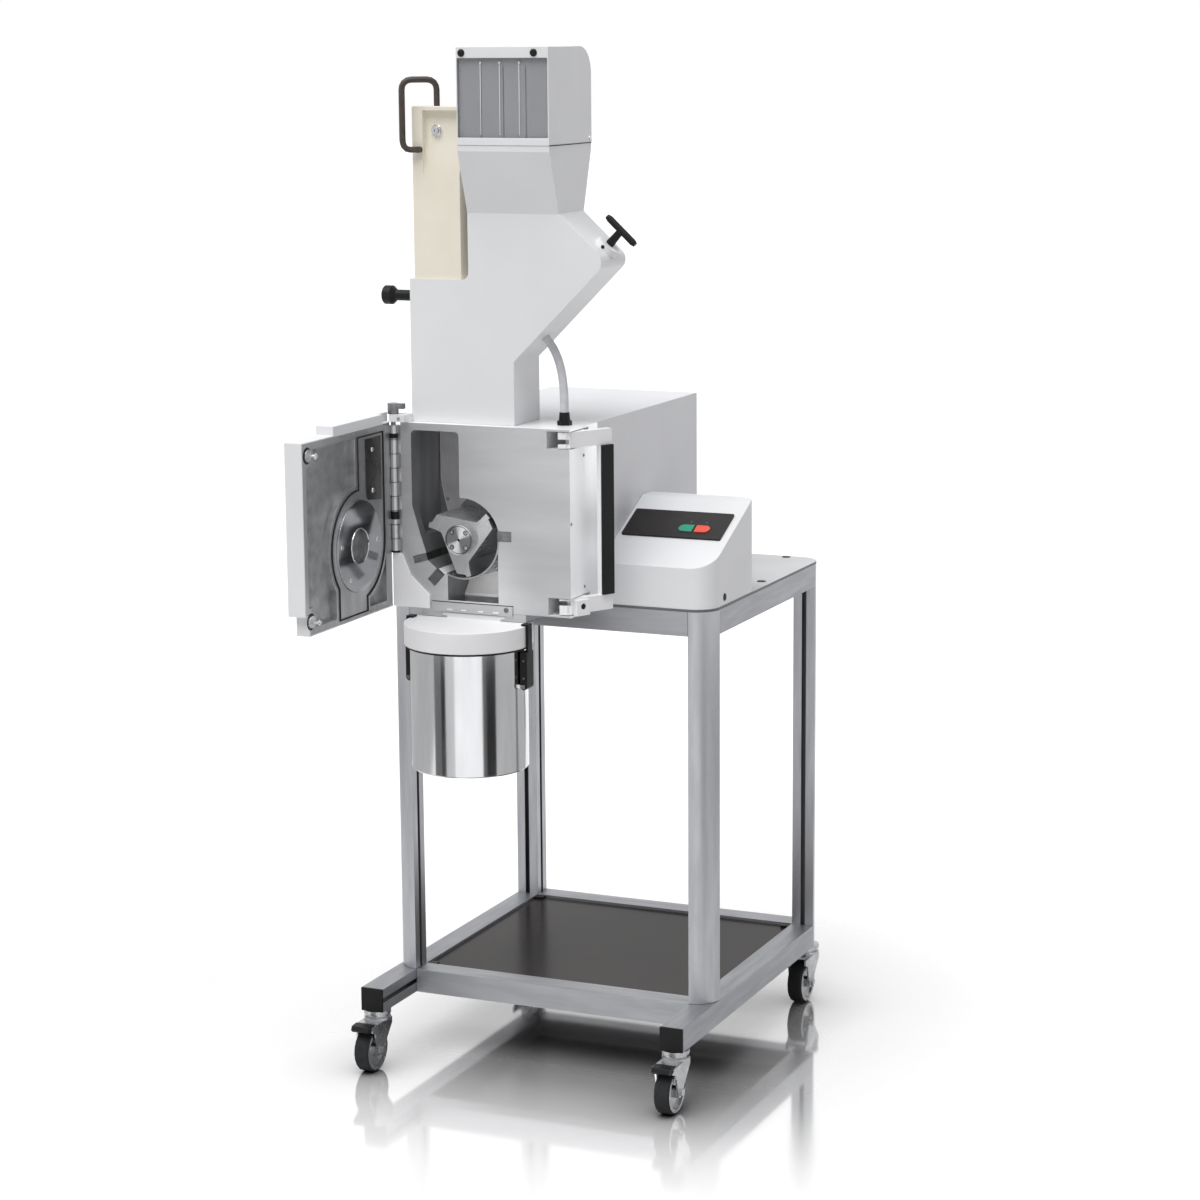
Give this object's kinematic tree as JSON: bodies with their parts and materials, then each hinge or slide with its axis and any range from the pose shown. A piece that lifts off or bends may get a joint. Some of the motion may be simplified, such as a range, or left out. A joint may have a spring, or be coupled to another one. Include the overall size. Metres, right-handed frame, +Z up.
{
  "type": "laboratory cutting mill",
  "caption": "Floor-standing laboratory cutting mill with an open hinged door, feed hopper with plunger, collecting jar and a wheeled profile stand.",
  "frame": {"origin": "bottom centre of the bounding box, on the floor", "axes": "+Z up, +Y to the back, +X to the right of someone who faces the mill"},
  "size_m": [0.588, 0.97, 1.686],
  "materials": {
    "anodised_profile": "clear anodised, satin",
    "white_paint": "smooth white powder coat",
    "cast_metal": "machined casting",
    "bright_steel": "polished stainless steel",
    "dark_steel": "tool steel, ground",
    "zinc_steel": "zinc plated",
    "black_plastic": "matte black",
    "black_gloss": "smooth black foil",
    "shelf_board": "dark smooth board",
    "grey_tread": "grey rubber tread",
    "ivory_plastic": "ivory",
    "brown_coat": "dark brown coat",
    "clear_strip": "clear strip curtain",
    "grey_hose": "light grey conduit",
    "white_plastic": "white",
    "green_button": "green",
    "red_button": "red"
  },
  "bodies": {
    "machine": {"post_front_left": "anodised_profile", "post_front_right": "anodised_profile", "post_rear_left": "anodised_profile", "post_rear_right": "anodised_profile", "foot_rail_left": "anodised_profile", "foot_rail_right": "anodised_profile", "foot_rail_front": "anodised_profile", "foot_rail_rear": "anodised_profile", "top_rail_left": "anodised_profile", "top_rail_right": "anodised_profile", "top_rail_front": "anodised_profile", "top_rail_rear": "anodised_profile", "end_cap_left": "black_plastic", "end_cap_right": "black_plastic", "shelf_panel": "shelf_board", "base_tray": "white_paint", "control_housing": "white_paint", "control_panel": "black_gloss", "motor_housing": "white_paint", "gear_motor": "cast_metal", "mains_inlet": "black_plastic", "chamber_block": "cast_metal", "corner_cover": "white_paint", "bottom_sieve": "bright_steel", "cutter_right": "dark_steel", "cutter_left": "dark_steel", "cutter_low": "dark_steel", "hinge_pin": "dark_steel", "hopper_body": "white_paint", "hopper_hood": "white_paint", "hopper_curtain": "clear_strip", "conduit": "grey_hose", "conduit_gland": "black_plastic", "outlet_rails": "dark_steel"},
    "castor_front_left": {"castor_fork_front_left": "zinc_steel"},
    "castor_front_right": {"castor_fork_front_right": "zinc_steel"},
    "castor_rear_left": {"castor_fork_rear_left": "zinc_steel"},
    "castor_rear_right": {"castor_fork_rear_right": "zinc_steel"},
    "wheel_front_left": {"castor_wheel_front_left": "grey_tread"},
    "wheel_front_right": {"castor_wheel_front_right": "grey_tread"},
    "wheel_rear_left": {"castor_wheel_rear_left": "grey_tread"},
    "wheel_rear_right": {"castor_wheel_rear_right": "grey_tread"},
    "pedal_left": {"brake_pedal_left": "black_plastic"},
    "pedal_right": {"brake_pedal_right": "black_plastic"},
    "start": {"start_button": "green_button"},
    "stop": {"stop_button": "red_button"},
    "rotor_body": {"rotor": "bright_steel"},
    "door": {"door_shell": "white_paint", "door_casting": "cast_metal", "door_plate": "bright_steel"},
    "yoke": {"closing_yoke": "white_paint", "yoke_grip": "black_plastic"},
    "clamp_screw": {"t_handle": "black_plastic"},
    "plunger_body": {"plunger": "ivory_plastic", "plunger_handle": "brown_coat"},
    "index_plunger": {"index_knob": "black_plastic"},
    "collector": {"collector_lid": "white_plastic", "collector_jar": "bright_steel"},
    "clip_left_body": {"clip_left": "black_plastic"},
    "clip_right_body": {"clip_right": "black_plastic"}
  },
  "joints": [
    {"name": "swivel_front_left", "type": "hinge", "parent": "machine", "child": "castor_front_left", "pos_m": [-0.27, -0.158, 0.08], "axis": [0, 0, 1], "continuous": true},
    {"name": "swivel_front_right", "type": "hinge", "parent": "machine", "child": "castor_front_right", "pos_m": [0.27, -0.158, 0.08], "axis": [0, 0, 1], "continuous": true},
    {"name": "swivel_rear_left", "type": "hinge", "parent": "machine", "child": "castor_rear_left", "pos_m": [-0.27, 0.462, 0.08], "axis": [0, 0, 1], "continuous": true},
    {"name": "swivel_rear_right", "type": "hinge", "parent": "machine", "child": "castor_rear_right", "pos_m": [0.27, 0.462, 0.08], "axis": [0, 0, 1], "continuous": true},
    {"name": "roll_front_left", "type": "hinge", "parent": "castor_front_left", "child": "wheel_front_left", "pos_m": [-0.27, -0.184, 0.0375], "axis": [1, 0, 0], "continuous": true},
    {"name": "roll_front_right", "type": "hinge", "parent": "castor_front_right", "child": "wheel_front_right", "pos_m": [0.27, -0.184, 0.0375], "axis": [1, 0, 0], "continuous": true},
    {"name": "roll_rear_left", "type": "hinge", "parent": "castor_rear_left", "child": "wheel_rear_left", "pos_m": [-0.27, 0.436, 0.0375], "axis": [1, 0, 0], "continuous": true},
    {"name": "roll_rear_right", "type": "hinge", "parent": "castor_rear_right", "child": "wheel_rear_right", "pos_m": [0.27, 0.436, 0.0375], "axis": [1, 0, 0], "continuous": true},
    {"name": "brake_left", "type": "hinge", "parent": "castor_front_left", "child": "pedal_left", "pos_m": [-0.27, -0.204, 0.08], "axis": [1, 0, 0], "range_deg": [0, 12]},
    {"name": "brake_right", "type": "hinge", "parent": "castor_front_right", "child": "pedal_right", "pos_m": [0.27, -0.204, 0.08], "axis": [1, 0, 0], "range_deg": [0, 12]},
    {"name": "start_press", "type": "slide", "parent": "machine", "child": "start", "axis": [0, 0.4269, -0.9043], "range_m": [0, 0.0012], "stiffness_N_per_m": 200},
    {"name": "stop_press", "type": "slide", "parent": "machine", "child": "stop", "axis": [0, 0.4269, -0.9043], "range_m": [0, 0.0012], "stiffness_N_per_m": 200},
    {"name": "rotor_spin", "type": "hinge", "parent": "machine", "child": "rotor_body", "pos_m": [-0.0823, -0.19, 0.9142], "axis": [0, -1, 0], "continuous": true},
    {"name": "door_hinge", "type": "hinge", "parent": "machine", "child": "door", "pos_m": [-0.2008, -0.191, 0.95], "axis": [0, 0, 1], "range_deg": [0, 90]},
    {"name": "yoke_pivot", "type": "hinge", "parent": "machine", "child": "yoke", "pos_m": [0.089, -0.136, 0.95], "axis": [0, 0, 1], "range_deg": [-17, 20]},
    {"name": "clamp_turn", "type": "hinge", "parent": "machine", "child": "clamp_screw", "pos_m": [0.1436, -0.125, 1.3764], "axis": [0.6793, 0, 0.7338], "continuous": true},
    {"name": "plunger_slide", "type": "slide", "parent": "machine", "child": "plunger_body", "axis": [0, 0, -1], "range_m": [0, 0.195]},
    {"name": "index_pull", "type": "slide", "parent": "machine", "child": "index_plunger", "axis": [-1, 0, 0], "range_m": [0, 0.008], "stiffness_N_per_m": 500},
    {"name": "collector_slide", "type": "slide", "parent": "machine", "child": "collector", "axis": [0, -1, 0], "range_m": [0, 0.06]},
    {"name": "clip_left_hinge", "type": "hinge", "parent": "collector", "child": "clip_left_body", "pos_m": [-0.1655, -0.208, 0.689], "axis": [0, -1, 0], "range_deg": [0, 30]},
    {"name": "clip_right_hinge", "type": "hinge", "parent": "collector", "child": "clip_right_body", "pos_m": [0.0375, -0.208, 0.689], "axis": [0, 1, 0], "range_deg": [0, 30]}
  ]
}
